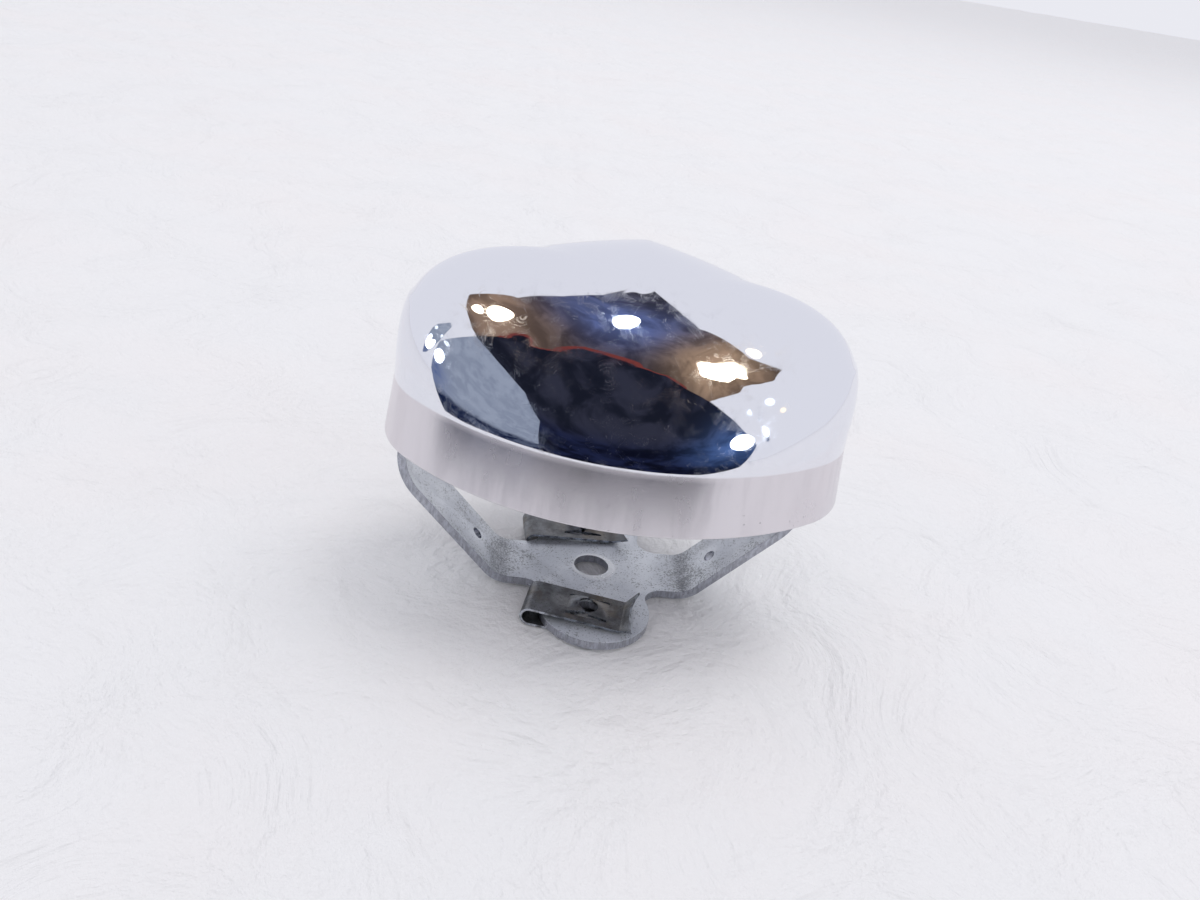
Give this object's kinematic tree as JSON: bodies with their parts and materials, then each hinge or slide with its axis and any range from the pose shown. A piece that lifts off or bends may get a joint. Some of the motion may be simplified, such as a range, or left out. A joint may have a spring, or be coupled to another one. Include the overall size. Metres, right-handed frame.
{
  "type": "horn cover",
  "caption": "Domed chrome horn cover with a straight skirt on a flat bent-up steel bracket that carries two push-on clip nuts.",
  "frame": {"origin": "middle of the bottom of the bounding box, at the underside of the clip nuts' lower leaves", "axes": "+X along the bracket's two arms towards the clips' open ends, +Y towards the cover's pointed corner, +Z from the bracket up through the dome"},
  "size_m": [0.1044, 0.0828, 0.0825],
  "materials": {
    "chrome": "mirror-polished chrome plating on pressed steel, finely swirled by wiping",
    "zinc_plating": "dull bluish plating, mottled, darker at the bends, with worn bright edges",
    "spring_steel": "dark phosphated spring steel with bright sheared edges",
    "weld_metal": "plated weld bead"
  },
  "bodies": {
    "cover_and_bracket": {"cover_shell": "chrome", "mounting_bracket": "zinc_plating", "weld_bead_left": "weld_metal", "weld_bead_right": "weld_metal"},
    "front_clip": {"clip_nut_front": "spring_steel"},
    "rear_clip": {"clip_nut_rear": "spring_steel"}
  },
  "joints": [
    {"name": "front_clip_slide", "type": "slide", "parent": "cover_and_bracket", "child": "front_clip", "axis": [-0.9799, 0.1994, 0], "range_m": [0, 0.026]},
    {"name": "rear_clip_slide", "type": "slide", "parent": "cover_and_bracket", "child": "rear_clip", "axis": [-0.9659, 0.2588, 0], "range_m": [0, 0.026]}
  ]
}
